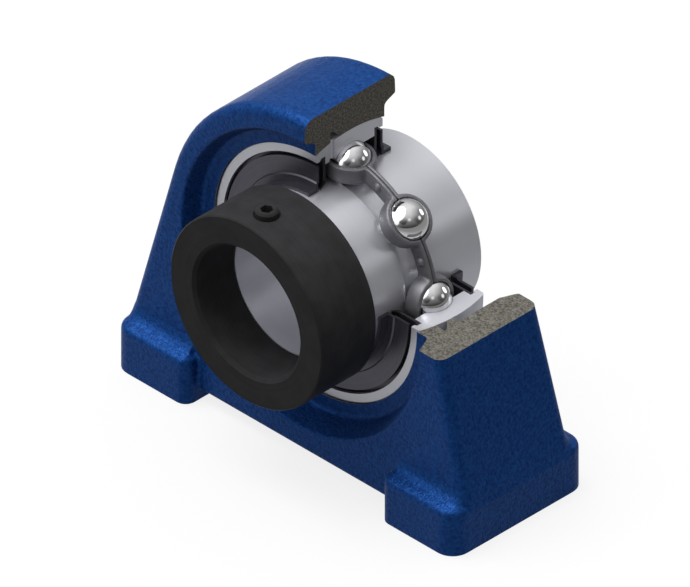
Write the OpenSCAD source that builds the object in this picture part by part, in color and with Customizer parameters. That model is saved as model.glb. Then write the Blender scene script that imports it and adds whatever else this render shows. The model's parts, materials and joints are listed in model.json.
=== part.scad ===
// Pillow block bearing unit with tapped feet and an eccentric locking collar.
// A quarter of the housing, the outer ring and the seals is cut away to show the inside.
// Origin: middle of the base, under the bearing. The shaft runs along Y and the collar is at -Y.

/* [Housing] */
// Height of the shaft axis above the base
axis_h = 42.9; // [41:0.1:46]
// Wall of the casting over the bearing
crown_wall = 8.2; // [6:0.1:10]
// Width of the casting at its top
crown_w = 26; // [23.5:0.1:28]
// Lean of each flank from the vertical, in degrees
flank_a = 14.8; // [12:0.1:15.4]
// Casting draft of the front and back, in degrees
draft_a = 2.1; // [1.2:0.1:2.8]
// Rounding of the casting's outer edges
edge_r = 2.3; // [1:0.1:2.8]
// Width of the spherical seat
seat_w = 20; // [19.6:0.1:22]
// Length over both feet
foot_span = 98.6; // [97:0.2:104]
// Depth of each foot along the shaft
foot_depth = 39; // [37:0.5:46]
// Length of each foot
foot_len = 21.2; // [18:0.1:23]
// Height of each foot
foot_h = 11; // [9:0.1:14]
// Height of the relieved underside between the feet
relief_h = 2.9; // [2.4:0.1:5]
// Concave blend between the feet and the body
blend_r = 3; // [1.5:0.1:4]
// Distance between the two tapped holes
bolt_spacing = 76.2; // [75:0.1:79]
// Core diameter of the tapped holes
tap_d = 10.2; // [8:0.1:11]
// Depth of the tapped holes
tap_depth = 18; // [13:0.5:20]
// Gap between the seat and the outer ring
seat_gap = 0.05; // [0.03:0.01:0.08]
// Depth of the two loading slots beyond the outer ring
slot_depth = 1.8; // [1:0.1:3]
// Distance of the loading slots' front wall from the middle
slot_front = 1.2; // [0.5:0.1:3]
// Distance of the grease groove's front wall from the middle
grease_front = 5.6; // [4.8:0.1:6.4]
// Depth of the grease groove beyond the outer ring
grease_depth = 2; // [1:0.1:2.4]
// Width of the grease groove
grease_w = 2.7; // [1.6:0.1:3.2]

/* [Bearing rings] */
// Shaft diameter
shaft_d = 30; // [28:0.1:31]
// Spherical outside diameter of the outer ring
ring_od = 62; // [61.6:0.1:64]
// Width of the outer ring
outer_w = 19; // [18.4:0.1:19.8]
// Width of the inner ring
inner_w = 36.6; // [34.6:0.1:42]
// Diameter of the circle through the ball centres
pitch_d = 46; // [45.6:0.1:46.4]
// Ball diameter
ball_d = 9.525; // [9.2:0.005:9.6]
// Number of balls
ball_count = 8; // [7:1:9]
// Turn of the first ball from the X axis, in degrees
ball_a = 0; // [0:1:20]
// Raceway radius as a share of the ball diameter
race_ratio = 0.515; // [0.51:0.005:0.53]
// Radial gap between each ball and each raceway
ball_gap = 0.03; // [0.02:0.005:0.05]
// Height of the shoulders beside the raceways
shoulder_h = 1.85; // [1.4:0.05:2]
// Diameter of the grease hole through the outer ring
grease_hole_d = 1.4; // [1:0.1:2]
// Chamfer of the ring edges
ring_chamfer = 0.3; // [0.2:0.05:0.6]

/* [Cage] */
// Thickness of the cage sheet
cage_t = 0.8; // [0.5:0.05:0.9]
// Gap between a ball and its pocket
pocket_gap = 0.09; // [0.05:0.01:0.1]
// Gap between the cage and the inner ring's shoulder
cage_in_gap = 1.1; // [0.8:0.05:1.4]
// Gap between the cage and the outer ring's shoulder
cage_out_gap = 1; // [0.8:0.05:1.3]
// Diameter of the rivet shanks
rivet_d = 1.2; // [0.8:0.1:1.5]
// Diameter of the rivet heads
rivet_head_d = 2.2; // [1.8:0.1:2.6]
// Height of the rivet heads
rivet_head_h = 0.6; // [0.4:0.05:0.9]

/* [Seals] */
// Depth of the seal seat in each face of the outer ring
seal_depth = 2.4; // [2.1:0.05:2.8]
// Wall of the outer ring at its faces
face_wall = 2.2; // [1.8:0.05:2.4]
// Depth of the groove that holds the seal's rim
rim_groove = 0.6; // [0.3:0.05:0.8]
// Thickness of the sheet steel in seals and flingers
sheet_t = 0.6; // [0.4:0.05:0.7]
// Gap between the seal lip and the inner ring
lip_gap = 0.3; // [0.2:0.05:0.4]
// Radial width of the seal lip
lip_w = 1.7; // [1.3:0.1:2.2]
// Gap between the flinger's rim and the outer ring
flinger_gap = 0.9; // [0.5:0.05:1.2]
// Reach of the flinger's sleeve beyond the outer ring
sleeve_reach = 2.4; // [1.6:0.1:2.6]
// Fit between pieces that are pressed together
press_gap = 0.02; // [0.01:0.01:0.03]

/* [Locking collar] */
// Outside diameter of the collar
collar_d = 44; // [42:0.5:48]
// Width of the collar
collar_w = 15.9; // [14:0.1:18]
// How far the collar reaches over the inner ring's nose
collar_lap = 4.1; // [3:0.1:4.3]
// Offset of the eccentric nose and recess
ecc = 0.6; // [0.4:0.05:0.7]
// Radial gap between the nose and the recess
ecc_gap = 0.2; // [0.19:0.01:0.3]
// Step from the inner ring's outside to the nose's highest side
nose_step = 1.2; // [0.8:0.1:1.4]
// Gap between the collar's bore and the shaft
collar_bore_gap = 0.1; // [0.05:0.05:0.3]
// Chamfer at the mouth of the collar's bore
bore_chamfer = 0.7; // [0.3:0.1:1]
// Chamfer of the collar's outer edges
collar_chamfer = 0.3; // [0.1:0.05:0.8]
// Set screw diameter
screw_d = 5; // [4:0.5:6]
// Set screw length
screw_len = 6; // [5:0.1:6.4]
// Width across the flats of the hexagon socket
hex_w = 2.5; // [2:0.1:3]
// Distance of the set screw from the collar's front face
screw_in = 6; // [5:0.1:8]
// Running gap between the set screw and its hole
screw_gap = 0.05; // [0.03:0.01:0.08]
// Distance of the set screw's tip from the shaft at rest
screw_lift = 2.2; // [1.8:0.1:2.6]

/* [Hidden] */
$fn = 96;
CAST_FN = 16; // sides of the small roundings on the casting
cut_size = 200; // reaches past everything that is cut

ring_r = ring_od / 2;
crown_r = ring_r + crown_wall;
foot_end = foot_span / 2;
foot_in = foot_end - foot_len;
foot_out_r = 4.2; // upright corners at the outer ends
foot_in_r = 2.5; // upright corners at the inner ends
foot_edge = 1.4; // rounding of the top edges
flank_end = foot_end - 0.1; // the flanks stay just inside the ends of the feet

outer_h = outer_w / 2;
inner_front = -inner_w / 2;
bore_r = shaft_d / 2;
pitch_r = pitch_d / 2;
ball_r = ball_d / 2;
ball_step = 360 / ball_count;
race_r = race_ratio * ball_d;
inner_race_r = pitch_r - ball_r - ball_gap;
outer_race_r = pitch_r + ball_r + ball_gap;
land_r = inner_race_r + shoulder_h;
shoulder_r = outer_race_r - shoulder_h;
ring_face_r = sqrt(pow(ring_r, 2) - pow(outer_h, 2)); // radius of the outer ring at its faces
seal_seat_r = ring_face_r - face_wall;
grease_hole_y = grease_hole_d / 3 - grease_front; // in the groove, beside its front wall

cage_in_r = land_r + cage_in_gap;
cage_out_r = shoulder_r - cage_out_gap;
rivet_r = (cage_in_r + cage_out_r) / 2;
pocket_r = ball_r + pocket_gap;
seam = 0.05; // half of the slit between the two cage halves

seal_y = outer_h - seal_depth;
rim_r = seal_seat_r + rim_groove;
lip_in_r = land_r + lip_gap;
lip_out_r = lip_in_r + lip_w;
flinger_r = seal_seat_r - flinger_gap;
flinger_y = outer_h - sheet_t;
sleeve_in_r = land_r + press_gap;
sleeve_out_r = sleeve_in_r + sheet_t * 1.3;

collar_r = collar_d / 2;
collar_back = inner_front + collar_lap;
collar_front = collar_back - collar_w;
nose_r = land_r - nose_step - ecc;
nose_back = collar_back + 0.1;
recess_r = nose_r + ecc_gap;
recess_front = inner_front - 0.2;
collar_bore_r = bore_r + collar_bore_gap;
screw_y = collar_front + screw_in;
screw_r = screw_d / 2;

BALLS = [for (i = [1 : ball_count]) str("ball_", i)];

// Half length of the casting at height z, along its leaning flank
function flank_x(z) = min(flank_end, (crown_r - (z - axis_h) * sin(flank_a)) / cos(flank_a));

// Half thickness of the casting at height z, with its draft
function face_y(z) = crown_w / 2 + (axis_h + crown_r - z) * tan(draft_a);

// Points of an arc about [x, y]
function arc(x, y, r, from, to, n = 6) =
    [for (i = [0 : n]) let (a = from + (to - from) * i / n) [x + r * cos(a), y + r * sin(a)]];

// Puts a shape turned about Z onto the shaft axis, its Z along the shaft
module on_shaft() {
    translate([0, 0, axis_h]) rotate([-90, 0, 0]) children();
}

// Revolves a half section, radius across and place along the shaft upward, about the shaft
module revolve() {
    on_shaft() rotate_extrude() children();
}

// Mirrors a piece to the other side of the middle plane
module to_back() {
    mirror([0, 1, 0]) children();
}

// The quarter that is cut away, right of the middle and above the shaft axis
module cut_quarter() {
    translate([0, -cut_size / 2, axis_h]) cube(cut_size);
}

// Rectangle with round corners, given by its half sizes
module round_plate(x, y, r) {
    for (sx = [-1, 1], sy = [-1, 1])
        translate([sx * (x - r), sy * (y - r)]) circle(r, $fn = CAST_FN * 2);
}

// Thin slice of the casting's plan at height z, made deeper by a margin at the front and back
module plan_slice(z, margin) {
    translate([0, 0, z]) linear_extrude(0.01)
        round_plate(flank_x(z), face_y(z) + margin, edge_r + margin);
}

// Arched body: rounded edges along the arch, leaning flanks and drafted faces
module arched_body() {
    edge_x = crown_r - edge_r;
    hull() {
        for (a = [flank_a : (180 - 2 * flank_a) / 32 : 180 - flank_a + 1], side = [-1, 1]) {
            z = axis_h + edge_x * sin(a);
            translate([edge_x * cos(a), side * (face_y(z) - edge_r), z])
                sphere(edge_r, $fn = CAST_FN);
        }
        plan_slice(foot_h - foot_edge, 0);
    }
}

// Lower wall between the feet, its faces in line with those of the arched body
module lower_wall() {
    top = foot_h - foot_edge / 2;
    front = [for (z = [relief_h, top]) [face_y(z), z]];
    back = [for (z = [top, relief_h]) [-face_y(z), z]];
    rotate([90, 0, 90]) linear_extrude(2 * foot_in + foot_len, center = true)
        polygon(concat(front, back));
}

// One foot, its top edge rounded, right of the middle
module foot() {
    hull()
        for (a = [0 : 22.5 : 90], side = [-1, 1], end = [0, 1]) {
            r = end == 1 ? foot_out_r : foot_in_r;
            x = end == 1 ? foot_end - r : foot_in + r;
            z = foot_h - foot_edge * (1 - sin(a));
            translate([x, side * (foot_depth / 2 - r), 0])
                cylinder(h = z, r = r - foot_edge * (1 - cos(a)), $fn = CAST_FN * 2);
        }
}

// Concave blend from the body onto the tops of the feet
module foot_blend() {
    steps = 3;
    intersection() {
        for (i = [0 : steps - 1]) {
            a = 90 * i / steps;
            b = 90 * (i + 1) / steps;
            hull() {
                plan_slice(foot_h + blend_r * (1 - cos(a)), blend_r * (1 - sin(a)));
                plan_slice(foot_h + blend_r * (1 - cos(b)), blend_r * (1 - sin(b)));
            }
        }
        for (side = [-1, 1])
            translate([side * (foot_in + foot_len / 2 + foot_edge / 2), 0, foot_h])
                cube([foot_len - foot_edge, foot_depth - 2 * foot_edge, 4 * blend_r], center = true);
    }
}

// Hollow round the bearing in one face: a flat floor, then a wall that flares with round corners
module face_hollow() {
    floor_y = seat_w / 2;
    floor_r = ring_r + 2;
    corner = 1.1;
    flare = 20;
    reach = 9;
    revolve() polygon(concat(
        [[0, floor_y]],
        arc(floor_r - corner, floor_y + corner, corner, -90, -flare),
        [[floor_r + reach * tan(flare), floor_y + reach], [0, floor_y + reach]]));
}

// Half ring in the seat that leads grease to the hole in the outer ring
module grease_groove() {
    front = -grease_front;
    revolve() polygon([[ring_r - 1.5, front], [ring_r + grease_depth, front],
                       [ring_r + grease_depth, front + grease_w * 0.3],
                       [ring_r - 0.3, front + grease_w], [ring_r - 1.5, front + grease_w]]);
}

// Two slots at the sides, open to the back, through which the bearing is put in crosswise
module loading_slots() {
    slot_w = outer_w + 0.8;
    intersection() {
        on_shaft() translate([0, 0, -slot_front]) cylinder(h = cut_size / 2, r = ring_r + slot_depth);
        translate([-cut_size / 2, -cut_size / 2, axis_h - slot_w / 2])
            cube([cut_size, cut_size, slot_w]);
    }
}

// Core hole of one tapped hole, with the drill's point
module tapped_hole() {
    tap_r = tap_d / 2;
    translate([0, 0, -1]) cylinder(h = tap_depth + 1, r = tap_r);
    translate([0, 0, tap_depth]) cylinder(h = tap_r * tan(30), r1 = tap_r, r2 = 0);
}

module housing() {
    color([0.11, 0.29, 0.58]) difference() {
        union() {
            arched_body();
            lower_wall();
            foot();
            mirror([1, 0, 0]) foot();
            foot_blend();
        }
        translate([0, 0, axis_h]) sphere(ring_r + seat_gap, $fn = 192);
        face_hollow();
        to_back() face_hollow();
        grease_groove();
        loading_slots();
        for (side = [-1, 1]) translate([side * bolt_spacing / 2, 0, 0]) tapped_hole();
        cut_quarter();
    }
}

// Half section of one seal seat in the outer ring's face, with the groove for the seal's rim
module seal_seat_section() {
    polygon([[0, seal_y], [rim_r, seal_y], [rim_r, seal_y + 1.2], [seal_seat_r, seal_y + 1.6],
             [seal_seat_r, outer_h + 1], [0, outer_h + 1]]);
}

// Half section of the chamfer on one outer edge of the outer ring
module ring_edge_section() {
    c = ring_chamfer;
    x = ring_face_r;
    polygon([[x - c, outer_h], [x + c, outer_h - 2 * c], [x + c, outer_h + 1], [x - c, outer_h + 1]]);
}

module outer_ring() {
    color([0.72, 0.72, 0.75]) difference() {
        revolve() difference() {
            intersection() {
                circle(ring_r, $fn = 192);
                translate([shoulder_r, -outer_h]) square([ring_r, outer_w]);
            }
            translate([outer_race_r - race_r, 0]) circle(race_r);
            for (side = [0, 1]) mirror([0, side]) {
                seal_seat_section();
                ring_edge_section();
            }
        }
        translate([0, grease_hole_y, axis_h])
            cylinder(h = cut_size / 2, r = grease_hole_d / 2);
        cut_quarter();
    }
}

module inner_ring() {
    c = ring_chamfer;
    back = inner_w / 2;
    color([0.70, 0.70, 0.73]) difference() {
        union() {
            revolve() difference() {
                polygon([[bore_r, nose_back], [land_r - c, nose_back], [land_r, nose_back + c],
                         [land_r, back - c], [land_r - c, back], [bore_r, back]]);
                translate([inner_race_r + race_r, 0]) circle(race_r);
            }
            translate([0, 0, ecc]) on_shaft() translate([0, 0, inner_front])
                cylinder(h = nose_back - inner_front + 0.1, r = nose_r);
        }
        on_shaft() translate([0, 0, inner_front - 1]) cylinder(h = inner_w + 2, r = bore_r);
    }
}

// Sheet steel ring at the front, its rim crimped into the outer ring's groove
module seal_carrier() {
    rim = rim_r - press_gap;
    y = seal_y + press_gap;
    inner = lip_out_r + press_gap;
    color([0.28, 0.28, 0.30]) difference() {
        revolve() mirror([0, 1])
            polygon([[inner, y], [rim, y], [rim, y + 1], [rim - sheet_t, y + 1],
                     [rim - sheet_t, y + sheet_t], [inner, y + sheet_t]]);
        cut_quarter();
    }
}

module front_seal_carrier() { seal_carrier(); }
module rear_seal_carrier() { to_back() seal_carrier(); }

// Rubber lip at the front, on the inside of the carrier, that leans outward to the inner ring
module seal_lip() {
    y = seal_y + press_gap;
    color([0.10, 0.10, 0.10]) difference() {
        revolve() mirror([0, 1])
            polygon([[lip_out_r, y], [lip_out_r, y + sheet_t + 0.1],
                     [lip_in_r + 0.9, y + sheet_t + 0.2], [lip_in_r + 0.25, y + sheet_t + 0.75],
                     [lip_in_r, y + sheet_t + 0.6], [lip_in_r + 0.6, y + 0.25], [lip_in_r + 1, y]]);
        cut_quarter();
    }
}

module front_seal_lip() { seal_lip(); }
module rear_seal_lip() { to_back() seal_lip(); }

// Sheet steel flinger at the front: a sleeve on the inner ring and a dished disc with a step
module flinger() {
    step_r = sleeve_out_r + 1.4;
    step_h = sheet_t * 0.5;
    end_y = outer_h + sleeve_reach;
    base_y = flinger_y + step_h;
    color([0.36, 0.36, 0.38]) difference() {
        revolve() mirror([0, 1])
            polygon([[sleeve_in_r, base_y], [step_r - step_h, base_y], [step_r, flinger_y],
                     [flinger_r, flinger_y], [flinger_r, flinger_y + sheet_t],
                     [step_r + step_h, flinger_y + sheet_t], [step_r, base_y + sheet_t],
                     [sleeve_out_r, base_y + sheet_t], [sleeve_out_r, end_y],
                     [sleeve_in_r, end_y]]);
        cut_quarter();
    }
}

module front_flinger() { flinger(); }
module rear_flinger() { to_back() flinger(); }

// Repeats a shape at every ball, or half a step on for every rivet
module round_pitch(r, turn) {
    for (i = [0 : ball_count - 1])
        translate([0, 0, axis_h]) rotate([0, -ball_a - ball_step * (i + turn), 0])
            translate([r, 0, 0]) children();
}

// Front half of the ribbon cage: a flat ring that bulges round the front of every ball
module cage_half() {
    color([0.33, 0.33, 0.35]) difference() {
        intersection() {
            union() {
                on_shaft() translate([0, 0, -seam - cage_t]) cylinder(h = cage_t, r = ring_r);
                round_pitch(pitch_r, 0) sphere(pocket_r + cage_t, $fn = 64);
            }
            on_shaft() translate([0, 0, -seam - 2 * ball_r]) difference() {
                cylinder(h = 2 * ball_r, r = cage_out_r);
                translate([0, 0, -1]) cylinder(h = 2 * ball_r + 2, r = cage_in_r);
            }
        }
        round_pitch(pitch_r, 0) sphere(pocket_r, $fn = 64);
        round_pitch(rivet_r, 0.5) rotate([-90, 0, 0])
            cylinder(h = 4 * cage_t, r = rivet_d / 2 + press_gap, center = true, $fn = 32);
    }
}

module cage_front_half() { cage_half(); }
module cage_rear_half() { to_back() cage_half(); }

// Domed head of one rivet, its flat side at the given height
module rivet_head(y) {
    head_r = rivet_head_d / 2;
    dome_r = (pow(head_r, 2) + pow(rivet_head_h, 2)) / (2 * rivet_head_h);
    translate([0, 0, y]) intersection() {
        translate([0, 0, rivet_head_h - dome_r]) sphere(dome_r, $fn = 32);
        cylinder(h = rivet_head_h, r = head_r + 1, $fn = 32);
    }
}

module cage_rivets() {
    grip = seam + cage_t + press_gap;
    color([0.45, 0.45, 0.47]) round_pitch(rivet_r, 0.5) rotate([-90, 0, 0]) {
        cylinder(h = 2 * grip, r = rivet_d / 2, center = true, $fn = 32);
        rivet_head(grip);
        mirror([0, 0, 1]) rivet_head(grip);
    }
}

module ball(i) {
    color([0.86, 0.86, 0.88]) translate([0, 0, axis_h])
        rotate([0, -ball_a - ball_step * (i - 1), 0]) translate([pitch_r, 0, 0]) sphere(ball_r);
}

module locking_collar() {
    c = collar_chamfer;
    color([0.14, 0.14, 0.15]) difference() {
        revolve() polygon([
            [collar_bore_r + bore_chamfer, collar_front], [collar_r - c, collar_front],
            [collar_r, collar_front + c], [collar_r, collar_back - c],
            [collar_r - c, collar_back], [collar_bore_r, collar_back],
            [collar_bore_r, collar_front + bore_chamfer]]);
        translate([0, 0, ecc]) on_shaft() translate([0, 0, recess_front])
            cylinder(h = collar_back - recess_front + 1, r = recess_r);
        translate([0, screw_y, axis_h]) cylinder(h = collar_r + 1, r = screw_r);
        translate([0, screw_y, axis_h + collar_r - 0.5])
            cylinder(h = 1, r1 = screw_r, r2 = screw_r + 1);
    }
}

module set_screw() {
    tip_z = axis_h + bore_r + screw_lift;
    r = screw_r - screw_gap;
    socket = screw_len / 2;
    color([0.16, 0.16, 0.17]) translate([0, screw_y, tip_z]) difference() {
        rotate_extrude() polygon([[0, 0.5], [r / 2, 0], [r * 0.7, 0], [r, r * 0.3],
                                  [r, screw_len - 0.4], [r - 0.4, screw_len], [0, screw_len]]);
        translate([0, 0, screw_len - socket]) rotate([0, 0, 30])
            cylinder(h = socket + 1, r = hex_w / sqrt(3), $fn = 6);
    }
}

housing();
outer_ring();
inner_ring();
front_seal_carrier();
rear_seal_carrier();
front_seal_lip();
rear_seal_lip();
front_flinger();
rear_flinger();
cage_front_half();
cage_rear_half();
cage_rivets();
locking_collar();
set_screw();
for (i = [1 : ball_count]) ball(i);
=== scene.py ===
import bpy
import json
import math
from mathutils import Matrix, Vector


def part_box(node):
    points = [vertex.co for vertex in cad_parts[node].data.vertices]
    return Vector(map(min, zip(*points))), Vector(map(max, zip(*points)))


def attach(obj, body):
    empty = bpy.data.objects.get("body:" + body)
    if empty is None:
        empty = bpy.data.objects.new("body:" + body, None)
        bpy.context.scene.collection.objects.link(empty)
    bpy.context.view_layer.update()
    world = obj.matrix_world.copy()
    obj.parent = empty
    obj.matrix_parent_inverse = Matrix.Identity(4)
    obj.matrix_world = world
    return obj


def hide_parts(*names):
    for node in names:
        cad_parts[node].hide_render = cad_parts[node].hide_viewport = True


# Cutaway pillow block bearing unit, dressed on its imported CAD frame, in metres

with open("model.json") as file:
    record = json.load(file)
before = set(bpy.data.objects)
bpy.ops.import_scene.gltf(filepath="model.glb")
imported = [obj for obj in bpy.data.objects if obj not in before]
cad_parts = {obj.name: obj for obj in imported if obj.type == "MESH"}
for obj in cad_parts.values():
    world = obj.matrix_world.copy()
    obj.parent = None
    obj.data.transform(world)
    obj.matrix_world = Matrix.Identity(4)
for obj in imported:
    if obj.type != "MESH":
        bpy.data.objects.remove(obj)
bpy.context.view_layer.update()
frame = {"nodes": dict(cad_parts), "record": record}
nodes = frame["nodes"]
mounts = {mount["name"]: mount for mount in frame["record"]["mounts"]}
mm = 0.001
bearingCentre = Vector((0, 0, mounts["shaft_bore"]["pos_m"][2]))
print("frame loaded,", len(nodes), "nodes")


# Camera: the photograph is an isometric view without perspective
cameraSettings = {
    "pixelsPerMm": 4.88,
    "photoWidth": 690,
    "shiftRight": -1.0,   # mm from the bearing's middle to the picture's middle
    "shiftUp": -8.22,
    "distance": 0.5,
}


def placeCamera(settings):
    towards = Vector((1, -1, 1)).normalized()
    right = Vector((1, 1, 0)).normalized()
    up = towards.cross(right)
    aim = bearingCentre + (right * settings["shiftRight"] + up * settings["shiftUp"]) * mm
    bpy.ops.object.camera_add(location=aim + towards * settings["distance"])
    camera = bpy.context.object
    camera.name = "camera"
    camera.rotation_mode = "QUATERNION"
    camera.rotation_quaternion = (-towards).to_track_quat("-Z", "Y")
    camera.data.type = "ORTHO"
    camera.data.ortho_scale = settings["photoWidth"] / settings["pixelsPerMm"] * mm
    bpy.context.scene.camera = camera


placeCamera(cameraSettings)


# Materials: one function each, all on Object coordinates

def hexColour(code):
    # An sRGB colour code as the linear colour that a socket takes
    channels = [int(code[i:i + 2], 16) / 255 for i in (1, 3, 5)]
    linear = [c / 12.92 if c <= 0.04045 else ((c + 0.055) / 1.055) ** 2.4 for c in channels]
    return (*linear, 1)


def addNode(tree, kind, settings={}, links={}, stops=()):
    # Settings go on the node, links are sockets or values for its inputs, and stops are a
    # colour ramp's (place, colour) pairs, the two outer ones first
    node = tree.nodes.new(kind)
    for name, value in settings.items():
        setattr(node, name, value)
    for name, value in links.items():
        socket = node.inputs[name]
        if isinstance(value, bpy.types.NodeSocket):
            tree.links.new(value, socket)
        else:
            socket.default_value = value
    for number, (place, colour) in enumerate(stops):
        elements = node.color_ramp.elements
        element = elements[number] if number < 2 else elements.new(place)
        element.position, element.color = place, colour
    return node


def startMaterial(name, values):
    material = bpy.data.materials.new(name)
    material.use_nodes = True
    tree = material.node_tree
    shader = tree.nodes["Principled BSDF"]
    for socket, value in values.items():
        shader.inputs[socket].default_value = value
    coords = addNode(tree, "ShaderNodeTexCoord").outputs["Object"]
    return material, tree, shader, coords


def turnedPlace(tree, coords):
    # Distance from the shaft axis and place along it: the lay of everything turned on that axis
    split = addNode(tree, "ShaderNodeSeparateXYZ", {}, {0: coords})
    height = addNode(tree, "ShaderNodeMath", {"operation": "SUBTRACT"}, {
        0: split.outputs["Z"], 1: bearingCentre.z})
    across = addNode(tree, "ShaderNodeCombineXYZ", {}, {
        "X": split.outputs["X"], "Y": height.outputs[0]})
    radius = addNode(tree, "ShaderNodeVectorMath", {"operation": "LENGTH"}, {0: across.outputs[0]})
    return addNode(tree, "ShaderNodeCombineXYZ", {}, {
        "X": radius.outputs["Value"], "Y": split.outputs["Y"]}).outputs[0]


def cutFaces(tree, coords):
    # One on the two faces where the quarter is cut away, nought elsewhere
    edge = 0.02 * mm
    split = addNode(tree, "ShaderNodeSeparateXYZ", {}, {0: coords})
    height = addNode(tree, "ShaderNodeMath", {"operation": "SUBTRACT"}, {
        0: split.outputs["Z"], 1: bearingCentre.z})
    faces = []
    for across, along in ((split.outputs["X"], height.outputs[0]), (height.outputs[0], split.outputs["X"])):
        onPlane = addNode(tree, "ShaderNodeMath", {"operation": "COMPARE"}, {0: across, 1: 0.0, 2: edge})
        onSide = addNode(tree, "ShaderNodeMath", {"operation": "GREATER_THAN"}, {0: along, 1: -edge})
        faces.append(addNode(tree, "ShaderNodeMath", {"operation": "MULTIPLY"}, {
            0: onPlane.outputs[0], 1: onSide.outputs[0]}).outputs[0])
    return addNode(tree, "ShaderNodeMath", {"operation": "MAXIMUM"}, {0: faces[0], 1: faces[1]}).outputs[0]


def castEnamel():
    # Alkyd enamel sprayed over sand cast iron: a fine flake keeps its highlights blue, and the
    # sand's skin shows through as soft leathery lumps, with the spray's own grain on them
    look = {"pale": "#1f5197", "mid": "#1a488d", "deep": "#143c7c", "flake": 0.3, "roughness": 0.36,
            "lumpMm": 0.75, "lumpDeepMm": 0.26, "grainMm": 0.3, "grainDeepMm": 0.06}
    material, tree, shader, coords = startMaterial("castEnamel", {
        "Metallic": look["flake"], "Roughness": look["roughness"], "IOR": 1.5, "Specular IOR Level": 0.05})
    lump = addNode(tree, "ShaderNodeTexNoise", {}, {
        "Vector": coords, "Scale": 1 / (look["lumpMm"] * mm), "Detail": 2.0, "Distortion": 0.6})
    grain = addNode(tree, "ShaderNodeTexNoise", {}, {
        "Vector": coords, "Scale": 1 / (look["grainMm"] * mm), "Detail": 2.0})
    colour = addNode(tree, "ShaderNodeValToRGB", {}, {"Fac": lump.outputs["Fac"]}, [
        (0.34, hexColour(look["deep"])), (0.66, hexColour(look["pale"])), (0.5, hexColour(look["mid"]))])
    tree.links.new(colour.outputs["Color"], shader.inputs["Base Color"])
    lumps = addNode(tree, "ShaderNodeBump", {}, {
        "Height": lump.outputs["Fac"], "Strength": 0.75, "Distance": look["lumpDeepMm"] * mm})
    grains = addNode(tree, "ShaderNodeBump", {}, {
        "Height": grain.outputs["Fac"], "Strength": 0.3, "Distance": look["grainDeepMm"] * mm,
        "Normal": lumps.outputs["Normal"]})
    tree.links.new(grains.outputs["Normal"], shader.inputs["Normal"])
    return material


def sawnIron():
    # Grey cast iron, sawn open and left dry: brown grey, with its graphite specks drawn coarser
    # than their real 0.1 mm so that they show, fine saw marks and a little rust
    look = {"pale": "#838077", "mid": "#6a6861", "deep": "#4a4741", "rust": "#7a6442",
            "roughness": 0.7, "speckMm": 0.46, "markMm": 0.2, "markStretch": 4, "markShare": 0.35,
            "rustMm": 0.9, "rustShare": 0.35, "deepMm": 0.12}
    material, tree, shader, coords = startMaterial("sawnIron", {
        "Roughness": look["roughness"], "Specular IOR Level": 0.25})
    speck = addNode(tree, "ShaderNodeTexNoise", {}, {
        "Vector": coords, "Scale": 1 / (look["speckMm"] * mm), "Detail": 3.0})
    stretch = 1 / look["markStretch"]
    stretched = addNode(tree, "ShaderNodeMapping", {}, {"Vector": coords, "Scale": (stretch, stretch, 1)})
    mark = addNode(tree, "ShaderNodeTexNoise", {}, {
        "Vector": stretched.outputs[0], "Scale": 1 / (look["markMm"] * mm), "Detail": 2.0})
    both = addNode(tree, "ShaderNodeMix", {"data_type": "FLOAT"}, {
        0: look["markShare"], 2: speck.outputs["Fac"], 3: mark.outputs["Fac"]})
    colour = addNode(tree, "ShaderNodeValToRGB", {}, {"Fac": both.outputs[0]}, [
        (0.38, hexColour(look["deep"])), (0.62, hexColour(look["pale"])), (0.5, hexColour(look["mid"]))])
    rust = addNode(tree, "ShaderNodeTexNoise", {}, {
        "Vector": coords, "Scale": 1 / (look["rustMm"] * mm), "Detail": 1.0})
    rusty = addNode(tree, "ShaderNodeMapRange", {}, {
        "Value": rust.outputs["Fac"], "From Min": 0.62, "From Max": 0.72, "To Max": look["rustShare"]})
    tinted = addNode(tree, "ShaderNodeMix", {"data_type": "RGBA"}, {
        "Factor": rusty.outputs[0], 6: colour.outputs["Color"], 7: hexColour(look["rust"])})
    tree.links.new(tinted.outputs[2], shader.inputs["Base Color"])
    bump = addNode(tree, "ShaderNodeBump", {}, {
        "Height": both.outputs[0], "Strength": 0.6, "Distance": look["deepMm"] * mm})
    tree.links.new(bump.outputs["Normal"], shader.inputs["Normal"])
    return material


def turnedMetal(name, look):
    # Metal turned or ground about the shaft axis: fine rings in tone, shine and relief, over broad
    # patches. The rings are drawn wider than real tool marks, so that they show
    material, tree, shader, coords = startMaterial(name, {"Metallic": look["metallic"]})
    rings = addNode(tree, "ShaderNodeTexNoise", {}, {
        "Vector": turnedPlace(tree, coords), "Scale": 1 / (look["markMm"] * mm), "Detail": 3.0})
    patches = addNode(tree, "ShaderNodeTexNoise", {}, {
        "Vector": coords, "Scale": 1 / (look["patchMm"] * mm), "Detail": 2.0})
    both = addNode(tree, "ShaderNodeMix", {"data_type": "FLOAT"}, {
        0: look["patchShare"], 2: rings.outputs["Fac"], 3: patches.outputs["Fac"]})
    colour = addNode(tree, "ShaderNodeValToRGB", {}, {"Fac": both.outputs[0]}, [
        (0.36, hexColour(look["deep"])), (0.64, hexColour(look["pale"]))])
    tree.links.new(colour.outputs["Color"], shader.inputs["Base Color"])
    spread = 0.12 * look["roughness"]
    shine = addNode(tree, "ShaderNodeMapRange", {}, {
        "Value": both.outputs[0], "From Min": 0.3, "From Max": 0.7,
        "To Min": look["roughness"] - spread, "To Max": look["roughness"] + spread})
    tree.links.new(shine.outputs[0], shader.inputs["Roughness"])
    bump = addNode(tree, "ShaderNodeBump", {}, {
        "Height": rings.outputs["Fac"], "Strength": 0.3, "Distance": look["markDepthMm"] * mm})
    tree.links.new(bump.outputs["Normal"], shader.inputs["Normal"])
    return material, tree, shader, coords


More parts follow.
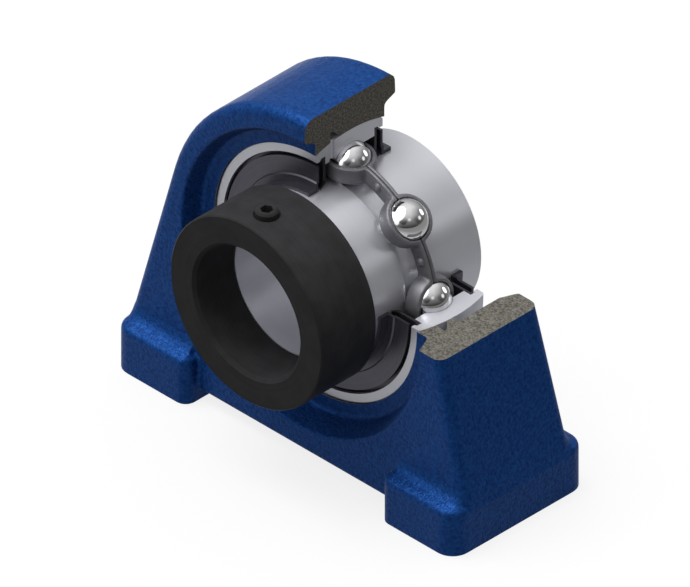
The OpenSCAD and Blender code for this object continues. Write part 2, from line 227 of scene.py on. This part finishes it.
def groundSteel():
    # Hardened ring steel, ground on raceways, outside and faces: a bright satin with faint rings.
    # It is half metal only, so that the lamps too give it the photograph's even, pale tone
    return turnedMetal("groundSteel", {
        "pale": "#e2e3ea", "deep": "#dedfe6", "metallic": 0.5, "roughness": 0.32,
        "markMm": 0.25, "markDepthMm": 0.0012, "patchMm": 6.0, "patchShare": 0.5})[0]


def machinedIron():
    # The casting's seat, slots and holes, bored and left bare: a grey sheen, duller than the rings. Its
    # grey is painted paler than the bare iron's own, as painted light in the deep seat and slots that the
    # ring and casting shade
    return turnedMetal("machinedIron", {
        "pale": "#c4c4c8", "deep": "#adadb2", "metallic": 0.6, "roughness": 0.38,
        "markMm": 0.3, "markDepthMm": 0.02, "patchMm": 6.0, "patchShare": 0.5})[0]


def sealSheet():
    # Phosphated sheet steel of flingers and carriers: a dull violet grey, darker where it is sawn through
    material, tree, shader, coords = turnedMetal("sealSheet", {
        "pale": "#66646c", "deep": "#595760", "metallic": 0.8, "roughness": 0.4,
        "markMm": 0.4, "markDepthMm": 0.01, "patchMm": 6.0, "patchShare": 0.5})
    colour = shader.inputs["Base Color"].links[0].from_socket
    darkened = addNode(tree, "ShaderNodeMix", {"data_type": "RGBA"}, {
        "Factor": cutFaces(tree, coords), 6: colour, 7: hexColour("#47454c")})
    tree.links.new(darkened.outputs[2], shader.inputs["Base Color"])
    return material


def blackOxide():
    # Turned steel, hot blackened: near black, with fine turning rings under a cloudy film
    material, tree, shader, coords = turnedMetal("blackOxide", {
        "pale": "#3c3c3e", "deep": "#343435", "metallic": 0.0, "roughness": 0.44,
        "markMm": 0.3, "markDepthMm": 0.01, "patchMm": 4.0, "patchShare": 0.6})
    shader.inputs["Specular IOR Level"].default_value = 0.03  # matt, as no oil is left on it
    return material


def polishedSteel():
    # Lapped ball steel, a mirror with only a breath of haze
    look = {"steel": "#ececee", "hazeMm": 1.5, "clear": 0.06, "hazy": 0.12}
    material, tree, shader, coords = startMaterial("polishedSteel", {
        "Metallic": 1.0, "Base Color": hexColour(look["steel"])})
    haze = addNode(tree, "ShaderNodeTexNoise", {}, {
        "Vector": coords, "Scale": 1 / (look["hazeMm"] * mm), "Detail": 2.0})
    shine = addNode(tree, "ShaderNodeMapRange", {}, {
        "Value": haze.outputs["Fac"], "To Min": look["clear"], "To Max": look["hazy"]})
    tree.links.new(shine.outputs[0], shader.inputs["Roughness"])
    return material


def phosphatedSteel():
    # Pressed cage strip, zinc phosphated: an even crystal in dark grey, drawn coarser than its real
    # 0.02 mm so that it shows, under slow clouds
    look = {"pale": "#8e8e93", "deep": "#7b7b80", "metallic": 0.6, "smooth": 0.44, "rough": 0.56,
            "crystalMm": 0.18, "crystalDeepMm": 0.02, "cloudMm": 3.0}
    material, tree, shader, coords = startMaterial("phosphatedSteel", {"Metallic": look["metallic"]})
    crystal = addNode(tree, "ShaderNodeTexNoise", {}, {
        "Vector": coords, "Scale": 1 / (look["crystalMm"] * mm), "Detail": 3.0})
    cloud = addNode(tree, "ShaderNodeTexNoise", {}, {
        "Vector": coords, "Scale": 1 / (look["cloudMm"] * mm), "Detail": 2.0})
    both = addNode(tree, "ShaderNodeMix", {"data_type": "FLOAT"}, {
        0: 0.5, 2: crystal.outputs["Fac"], 3: cloud.outputs["Fac"]})
    colour = addNode(tree, "ShaderNodeValToRGB", {}, {"Fac": both.outputs[0]}, [
        (0.36, hexColour(look["deep"])), (0.64, hexColour(look["pale"]))])
    tree.links.new(colour.outputs["Color"], shader.inputs["Base Color"])
    shine = addNode(tree, "ShaderNodeMapRange", {}, {
        "Value": crystal.outputs["Fac"], "From Min": 0.3, "From Max": 0.7,
        "To Min": look["smooth"], "To Max": look["rough"]})
    tree.links.new(shine.outputs[0], shader.inputs["Roughness"])
    bump = addNode(tree, "ShaderNodeBump", {}, {
        "Height": crystal.outputs["Fac"], "Strength": 0.25, "Distance": look["crystalDeepMm"] * mm})
    tree.links.new(bump.outputs["Normal"], shader.inputs["Normal"])
    return material


def nitrileRubber():
    # Moulded nitrile lip, matt black with a faint bloom
    look = {"pale": "#1b1b1c", "deep": "#101011", "roughness": 0.65, "bloomMm": 0.8, "bloomDeepMm": 0.02}
    material, tree, shader, coords = startMaterial("nitrileRubber", {
        "Roughness": look["roughness"], "Specular IOR Level": 0.3})
    bloom = addNode(tree, "ShaderNodeTexNoise", {}, {
        "Vector": coords, "Scale": 1 / (look["bloomMm"] * mm), "Detail": 2.0})
    colour = addNode(tree, "ShaderNodeValToRGB", {}, {"Fac": bloom.outputs["Fac"]}, [
        (0.35, hexColour(look["deep"])), (0.65, hexColour(look["pale"]))])
    tree.links.new(colour.outputs["Color"], shader.inputs["Base Color"])
    bump = addNode(tree, "ShaderNodeBump", {}, {
        "Height": bloom.outputs["Fac"], "Strength": 0.2, "Distance": look["bloomDeepMm"] * mm})
    tree.links.new(bump.outputs["Normal"], shader.inputs["Normal"])
    return material


enamel = castEnamel()
cutIron = sawnIron()
seatIron = machinedIron()
ringSteel = groundSteel()
ballSteel = polishedSteel()
cageSteel = phosphatedSteel()
sheetSteel = sealSheet()
sealRubber = nitrileRubber()
blackSteel = blackOxide()
print("materials made")


# Working helpers for modelling

def deselectAll():
    if bpy.context.object and bpy.context.object.mode != "OBJECT":
        bpy.ops.object.mode_set(mode="OBJECT")
    bpy.ops.object.select_all(action="DESELECT")


def makeActive(piece):
    deselectAll()
    piece.select_set(True)
    bpy.context.view_layer.objects.active = piece


def applyPlace(piece):
    makeActive(piece)
    bpy.ops.object.transform_apply(location=True, rotation=True, scale=True)


def copyOfNode(name, newName):
    piece = nodes[name].copy()
    piece.data = nodes[name].data.copy()
    piece.name = newName
    piece.parent = None
    for key in list(piece.keys()):
        del piece[key]
    bpy.context.scene.collection.objects.link(piece)
    piece.hide_render = piece.hide_viewport = False
    makeActive(piece)
    bpy.ops.object.mode_set(mode="EDIT")
    bpy.ops.mesh.select_all(action="SELECT")
    bpy.ops.mesh.customdata_custom_splitnormals_clear()
    bpy.ops.mesh.remove_doubles(threshold=0.00001)
    bpy.ops.object.mode_set(mode="OBJECT")
    return piece


def applyModifier(piece, kind, **settings):
    makeActive(piece)
    modifier = piece.modifiers.new(kind.lower(), kind)
    for name, value in settings.items():
        setattr(modifier, name, value)
    bpy.ops.object.modifier_apply(modifier=modifier.name)


def booleanWith(piece, tool, operation):
    applyModifier(piece, "BOOLEAN", operation=operation, object=tool, solver="EXACT",
                  material_mode="TRANSFER")
    bpy.data.objects.remove(tool)


def dressTool(tool, material):
    tool.data.materials.clear()
    tool.data.materials.append(material)
    return tool


def alongShaft(low, high, radius):
    # Cylinder round the shaft axis between two places along it, in millimetres
    bpy.ops.mesh.primitive_cylinder_add(
        vertices=160, radius=radius * mm, depth=(high - low) * mm,
        location=bearingCentre + Vector((0, (low + high) / 2 * mm, 0)), rotation=(math.pi / 2, 0, 0))
    piece = bpy.context.object
    applyPlace(piece)
    return piece


def revolved(profile):
    # Closed solid turned about the shaft axis from a profile of (radius, place along the shaft)
    mesh = bpy.data.meshes.new("profile")
    mesh.from_pydata([(radius * mm, place * mm, 0) for radius, place in profile],
                     [(i, i + 1) for i in range(len(profile) - 1)], [])
    piece = bpy.data.objects.new("profile", mesh)
    bpy.context.scene.collection.objects.link(piece)
    applyModifier(piece, "SCREW", axis="Y", angle=2 * math.pi, steps=160, render_steps=160,
                  use_merge_vertices=True, merge_threshold=0.002 * mm)
    piece.location = bearingCentre
    applyPlace(piece)
    bpy.ops.object.mode_set(mode="EDIT")
    bpy.ops.mesh.select_all(action="SELECT")
    bpy.ops.mesh.normals_make_consistent(inside=False)
    bpy.ops.object.mode_set(mode="OBJECT")
    return piece


def boxBetween(low, high):
    # Box between two corners in millimetres from the bearing's middle
    middle = [(a + b) / 2 * mm for a, b in zip(low, high)]
    bpy.ops.mesh.primitive_cube_add(size=1, location=bearingCentre + Vector(middle))
    piece = bpy.context.object
    piece.scale = [(b - a) * mm for a, b in zip(low, high)]
    applyPlace(piece)
    return piece


# Housing: the cast skin is softened as sand leaves it, then the machined places are cut sharp
housingSettings = {
    "voxel": 0.32,        # mm
    "smoothing": 4,       # rounds of smoothing
    "kept": 0.45,         # share of the faces left once the flat places are thinned
    "ringR": 31.0,        # all lengths in mm, as in the CAD source
    "seatGap": 0.05,
    "seatHalf": 10.0,
    "plugR": 33.4,        # fills the seat before the skin is softened
    "slotR": 32.8,
    "slotHalf": 9.9,
    "slotFront": -1.2,
    "grooveFront": -5.6,
    "grooveW": 2.7,
    "grooveR": 33.0,
    "tapR": 5.1,
    "tapDepth": 18.0,
    "tapPlug": 24.0,      # length of what fills each tapped hole while the skin is softened
    "tapPlugMiddle": 10.1,
    "baseSpare": 2.0,     # how far the base is drawn down, to be cut flat later
    "beyond": 80.0,       # takes a cutting tool past the outside everywhere
    "smoothAngle": 35,    # degrees
}


def tapPlaces():
    # Places of the two tapped holes along the base
    spacing = mounts["base_bolts"]["dims"]["spacing_x_mm"]
    return (-spacing / 2 * mm, spacing / 2 * mm)


def softCasting(s):
    # The uncut half of the CAD housing, mirrored to a whole casting and softened all over
    piece = copyOfNode("housing", "housing_casting")
    bpy.ops.object.mode_set(mode="EDIT")
    bpy.ops.mesh.select_all(action="SELECT")
    # Parted just short of the middle, a gap that the mirror's merge closes again
    bpy.ops.mesh.bisect(plane_co=(-0.1 * mm, 0, 0), plane_no=(1, 0, 0), clear_outer=True)
    bpy.ops.object.mode_set(mode="OBJECT")
    for vertex in piece.data.vertices:
        if vertex.co.z < 0.01 * mm:
            vertex.co.z = -s["baseSpare"] * mm
    applyModifier(piece, "MIRROR", use_axis=(True, False, False), merge_threshold=0.25 * mm)
    booleanWith(piece, alongShaft(-s["seatHalf"], s["seatHalf"], s["plugR"]), "UNION")
    for x in tapPlaces():
        bpy.ops.mesh.primitive_cylinder_add(
            vertices=32, radius=(s["tapR"] + 0.6) * mm, depth=s["tapPlug"] * mm,
            location=(x, 0, s["tapPlugMiddle"] * mm))
        booleanWith(piece, bpy.context.object, "UNION")
    applyModifier(piece, "REMESH", mode="VOXEL", voxel_size=s["voxel"] * mm)
    applyModifier(piece, "SMOOTH", factor=0.5, iterations=s["smoothing"])
    applyModifier(piece, "DECIMATE", ratio=s["kept"])
    piece.data.materials.clear()
    piece.data.materials.append(enamel)
    return piece


def boreSeat(piece, s):
    # The spherical seat with its grease groove, then the two loading slots from behind
    seatR = s["ringR"] + s["seatGap"]
    reach = s["seatHalf"] + 0.6
    groove = [(s["grooveR"], s["grooveFront"]), (s["grooveR"], s["grooveFront"] + s["grooveW"] * 0.3)]
    stretches = [(-reach, s["grooveFront"]), (s["grooveFront"] + s["grooveW"], reach)]
    front, back = [[(math.sqrt(seatR ** 2 - y ** 2), y) for y in
                    [low + (high - low) * i / 12 for i in range(13)]] for low, high in stretches]
    seat = revolved([(0, -reach), *front, *groove, *back, (0, reach)])
    booleanWith(piece, dressTool(seat, seatIron), "DIFFERENCE")
    far = s["beyond"]
    slots = alongShaft(s["slotFront"], far, s["slotR"])
    booleanWith(slots, boxBetween((-far, -far, -s["slotHalf"]), (far, 2 * far, s["slotHalf"])), "INTERSECT")
    booleanWith(piece, dressTool(slots, seatIron), "DIFFERENCE")


def machineHousing(piece, s):
    # Base milled flat, holes drilled, seat bored, and the quarter sawn away
    makeActive(piece)
    bpy.ops.object.mode_set(mode="EDIT")
    bpy.ops.mesh.select_all(action="SELECT")
    bpy.ops.mesh.bisect(plane_co=(0, 0, 0), plane_no=(0, 0, -1), clear_outer=True, use_fill=True,
                        threshold=0.001 * mm)
    bpy.ops.object.mode_set(mode="OBJECT")
    for x in tapPlaces():
        bpy.ops.mesh.primitive_cylinder_add(
            vertices=48, radius=s["tapR"] * mm, depth=(s["tapDepth"] + 2) * mm,
            location=(x, 0, (s["tapDepth"] / 2 - 1) * mm))
        hole = bpy.context.object
        applyPlace(hole)
        booleanWith(piece, dressTool(hole, seatIron), "DIFFERENCE")
    boreSeat(piece, s)
    far = s["beyond"]
    booleanWith(piece, dressTool(boxBetween((0, -far, 0), (far, far, far)), cutIron), "DIFFERENCE")
    makeActive(piece)
    bpy.ops.object.shade_smooth_by_angle(angle=math.radians(s["smoothAngle"]))
    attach(piece, "housing_body")
    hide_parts("housing")


casting = softCasting(housingSettings)
machineHousing(casting, housingSettings)
print("housing cast and machined,", len(casting.data.polygons), "faces")


# Cage halves: pressed strip, whose edges the press tool leaves soft
cageSettings = {
    "voxel": 0.25,        # mm
    "smoothing": 3,       # rounds of smoothing
}


def pressedHalf(name, settings):
    piece = copyOfNode(name, name + "_pressed")
    applyModifier(piece, "REMESH", mode="VOXEL", voxel_size=settings["voxel"] * mm)
    applyModifier(piece, "SMOOTH", factor=0.5, iterations=settings["smoothing"])
    piece.data.materials.clear()
    piece.data.materials.append(cageSteel)
    makeActive(piece)
    bpy.ops.object.shade_smooth()
    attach(piece, "cage_body")
    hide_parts(name)
    return piece


for name in ("cage_front_half", "cage_rear_half"):
    half = pressedHalf(name, cageSettings)
    print(half.name, len(half.data.polygons), "faces")


# The other pieces keep their CAD solids and take a real finish
finishes = {
    "outer_ring": ringSteel, "inner_ring": ringSteel,
    "front_seal_carrier": sheetSteel, "rear_seal_carrier": sheetSteel,
    "front_seal_lip": sealRubber, "rear_seal_lip": sealRubber,
    "front_flinger": sheetSteel, "rear_flinger": sheetSteel,
    "cage_rivets": cageSteel, "locking_collar": blackSteel, "set_screw": blackSteel,
}
for name, material in finishes.items():
    nodes[name].data.materials.clear()
    nodes[name].data.materials.append(material)
print("finishes given")


# Balls: one is rounded from a finely divided block, then copied into each ball's place
ballSettings = {
    "divisions": 4,       # each one quarters the block's faces
}


def lappedBall(settings):
    low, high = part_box("ball_1")
    radius = (high[1] - low[1]) / 2
    bpy.ops.mesh.primitive_cube_add(size=2 * radius)
    piece = bpy.context.object
    applyModifier(piece, "SUBSURF", levels=settings["divisions"], render_levels=settings["divisions"])
    applyModifier(piece, "CAST", factor=1.0, radius=0.0, size=radius, use_radius_as_size=False)
    bpy.ops.object.shade_smooth()
    piece.data.materials.append(ballSteel)
    return piece


def placeBall(pattern, name):
    piece = pattern.copy()
    piece.data = pattern.data.copy()
    piece.name = name + "_lapped"
    bpy.context.scene.collection.objects.link(piece)
    low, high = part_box(name)
    piece.location = [(a + b) / 2 for a, b in zip(low, high)]
    applyPlace(piece)
    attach(piece, name + "_body")
    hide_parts(name)


firstBall = lappedBall(ballSettings)
for name in sorted(nodes):
    if name.startswith("ball_"):
        placeBall(firstBall, name)
bpy.data.objects.remove(firstBall)
print("balls lapped")


# Studio: pale floor, surroundings that brighten upwards, and soft lamps
studioSettings = {
    "floorSize": 3.0,
    "floorGrey": 0.18,     # what the floor scatters onto the object
    "floorGlow": 0.83,     # lifts the floor to white for the camera
    "farSheen": 0.1,       # and to grey in the metals
    # Paler places on the floor for the metals: place, where they begin and stop to fade, level
    "sheens": [((-0.05, -0.05, 0), 0.07, 0.22, 0.36), ((-0.11, 0.13, 0), 0.08, 0.15, 0.9)],
    "sky": [(0.0, 0.18), (1.0, 0.8), (0.17, 0.19), (0.62, 0.38), (0.78, 0.6)],
    # Panels and cards: direction, where they fade out and in as a cosine, and level, dark where
    # it is below nought. Only the metals see the cards
    "panels": [((-0.6, 0.45, 0.66), 0.45, 0.95, 0.15), ((0.9, -0.45, 0.05), 0.3, 0.95, -0.16)],
    "cards": [((-0.33, -0.55, 0.77), 0.79, 0.83, 1.0), ((-0.1, -0.95, 0.3), 0.966, 0.985, 0.9),
              ((0.71, -0.29, 0.62), 0.985, 0.995, 0.4), ((0.75, 0.62, 0.35), 0.985, 0.995, 0.8),
              ((0.393, -0.729, 0.561), 0.92, 0.97, -0.13), ((0.63, 0.58, 0.51), 0.75, 0.97, -0.15)],
}


def paleFloor(settings):
    bpy.ops.mesh.primitive_plane_add(size=settings["floorSize"], location=(0, 0, 0))
    floor = bpy.context.object
    floor.name = "floor"
    material = bpy.data.materials.new("paleFloor")
    material.use_nodes = True
    tree = material.node_tree
    tree.nodes.clear()
    grey = settings["floorGrey"]
    matte = addNode(tree, "ShaderNodeBsdfDiffuse", {}, {"Color": (grey, grey, grey, 1)})
    path = addNode(tree, "ShaderNodeLightPath")
    seen = addNode(tree, "ShaderNodeMath", {"operation": "ADD"}, {
        0: path.outputs["Is Camera Ray"], 1: path.outputs["Is Transmission Ray"]})
    seenLevel = addNode(tree, "ShaderNodeMath", {"operation": "MULTIPLY"}, {
        0: seen.outputs[0], 1: settings["floorGlow"]})
    place = addNode(tree, "ShaderNodeTexCoord").outputs["Object"]
    sheen = settings["farSheen"]
    for centre, inner, outer, level in settings["sheens"]:
        distance = addNode(tree, "ShaderNodeVectorMath", {"operation": "DISTANCE"}, {
            0: place, 1: centre})
        patch = addNode(tree, "ShaderNodeMapRange", {"interpolation_type": "SMOOTHSTEP"}, {
            "Value": distance.outputs["Value"], "From Min": inner, "From Max": outer,
            "To Min": level, "To Max": 0.0})
        sheen = addNode(tree, "ShaderNodeMath", {"operation": "ADD"}, {
            0: sheen, 1: patch.outputs[0]}).outputs[0]
    level = addNode(tree, "ShaderNodeMath", {"operation": "MULTIPLY_ADD"}, {
        0: path.outputs["Is Glossy Ray"], 1: sheen, 2: seenLevel.outputs[0]})
    glow = addNode(tree, "ShaderNodeEmission", {}, {"Color": (1, 1, 1, 1), "Strength": level.outputs[0]})
    both = addNode(tree, "ShaderNodeAddShader", {}, {0: matte.outputs[0], 1: glow.outputs[0]})
    addNode(tree, "ShaderNodeOutputMaterial", {}, {"Surface": both.outputs[0]})
    floor.data.materials.append(material)


def paleWorld(settings):
    world = bpy.data.worlds.new("studio")
    bpy.context.scene.world = world
    world.use_nodes = True
    tree = world.node_tree
    tree.nodes.clear()
    direction = addNode(tree, "ShaderNodeTexCoord").outputs["Generated"]
    split = addNode(tree, "ShaderNodeSeparateXYZ", {}, {0: direction})
    height = addNode(tree, "ShaderNodeMapRange", {}, {
        "Value": split.outputs["Z"], "From Min": -0.2, "From Max": 1.0})
    sky = addNode(tree, "ShaderNodeValToRGB", {}, {"Fac": height.outputs[0]}, [
        (place, (level, level, level, 1)) for place, level in settings["sky"]])
    light = addNode(tree, "ShaderNodeRGBToBW", {}, {0: sky.outputs["Color"]}).outputs[0]
    path = addNode(tree, "ShaderNodeLightPath")
    for kind in ("panels", "cards"):
        for towards, outer, inner, level in settings[kind]:
            facing = addNode(tree, "ShaderNodeVectorMath", {"operation": "DOT_PRODUCT"}, {
                0: direction, 1: Vector(towards).normalized()})
            panel = addNode(tree, "ShaderNodeMapRange", {"interpolation_type": "SMOOTHSTEP"}, {
                "Value": facing.outputs["Value"], "From Min": outer, "From Max": inner, "To Max": level})
            if kind == "cards":
                panel = addNode(tree, "ShaderNodeMath", {"operation": "MULTIPLY"}, {
                    0: panel.outputs[0], 1: path.outputs["Is Glossy Ray"]})
            light = addNode(tree, "ShaderNodeMath", {"operation": "ADD"}, {
                0: light, 1: panel.outputs[0]}).outputs[0]
    light = addNode(tree, "ShaderNodeMath", {"operation": "MAXIMUM"}, {0: light, 1: 0.0}).outputs[0]
    seen = addNode(tree, "ShaderNodeMath", {"operation": "ADD"}, {
        0: path.outputs["Is Camera Ray"], 1: path.outputs["Is Transmission Ray"]})
    level = addNode(tree, "ShaderNodeMix", {"data_type": "FLOAT"}, {0: seen.outputs[0], 2: light, 3: 1.0})
    background = addNode(tree, "ShaderNodeBackground", {}, {
        "Color": (1, 1, 1, 1), "Strength": level.outputs[0]})
    addNode(tree, "ShaderNodeOutputWorld", {}, {"Surface": background.outputs[0]})


# Lamps: direction from the bearing, distance and size in metres, power in watts
lampSettings = {
    "keyLamp": ((-0.3, -0.2, 0.93), 0.9, 0.6, 4.5),
    "frontLamp": ((-0.6, -0.72, 0.5), 0.8, 0.6, 0.25),
    "rearLamp": ((0.3, 0.9, 0.3), 0.8, 0.3, 0.4),
}


def softLamp(name, towards, distance, size, power):
    place = bearingCentre + Vector(towards).normalized() * distance
    bpy.ops.object.light_add(type="AREA", location=place)
    lamp = bpy.context.object
    lamp.name = name
    lamp.rotation_mode = "QUATERNION"
    lamp.rotation_quaternion = (bearingCentre - place).to_track_quat("-Z", "Y")
    lamp.data.shape = "DISK"
    lamp.data.size = size
    lamp.data.energy = power


paleFloor(studioSettings)
paleWorld(studioSettings)
for name, values in lampSettings.items():
    softLamp(name, *values)
bpy.context.scene.view_settings.view_transform = "Standard"
print("studio lit")
